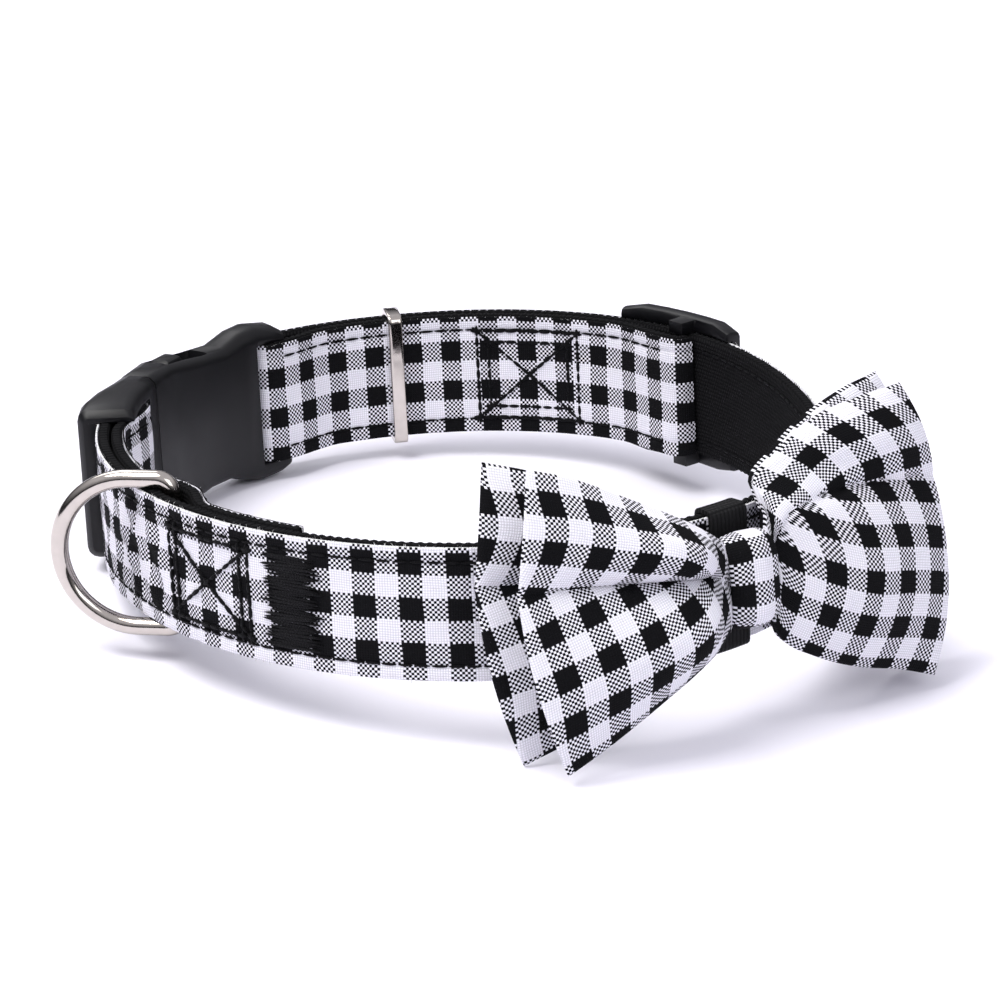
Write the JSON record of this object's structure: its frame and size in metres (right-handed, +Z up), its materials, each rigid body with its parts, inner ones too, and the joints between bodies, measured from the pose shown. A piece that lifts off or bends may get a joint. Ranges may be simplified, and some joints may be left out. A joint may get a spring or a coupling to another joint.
{
  "type": "pet bow tie collar",
  "caption": "Adjustable gingham pet collar with a layered bow tie, side-release buckle, slider, keeper and leash ring.",
  "frame": {"origin": "on the surface that the collar stands on, under the middle of its outline", "axes": "+X along the bow to the wearer's side away from the D-ring, -Y out of the bow's front, +Z up"},
  "size_m": [0.151, 0.171, 0.0559],
  "materials": {
    "webbing_black": "ribbed nylon webbing, matt black",
    "gingham_cloth": "plain-woven cotton gingham in black and white checks",
    "nickel": "polished nickel plate on steel",
    "moulded_black": "semi-matt black moulded acetal",
    "elastic_black": "woven black elastic"
  },
  "bodies": {
    "collar": {"webbing": "webbing_black", "facing": "gingham_cloth", "keeper": "nickel", "slider": "moulded_black", "buckle_male": "moulded_black", "buckle_female": "moulded_black", "bow_front": "gingham_cloth", "bow_back": "gingham_cloth", "bow_knot": "gingham_cloth", "bow_elastic": "elastic_black"},
    "ring": {"d_ring": "nickel"}
  },
  "joints": [
    {"name": "d_ring_swing", "type": "hinge", "parent": "collar", "child": "ring", "pos_m": [-0.05994, 0.01471, 0.02134], "axis": [0, 0.0724, 0.9974], "range_deg": [-15, 105]}
  ]
}
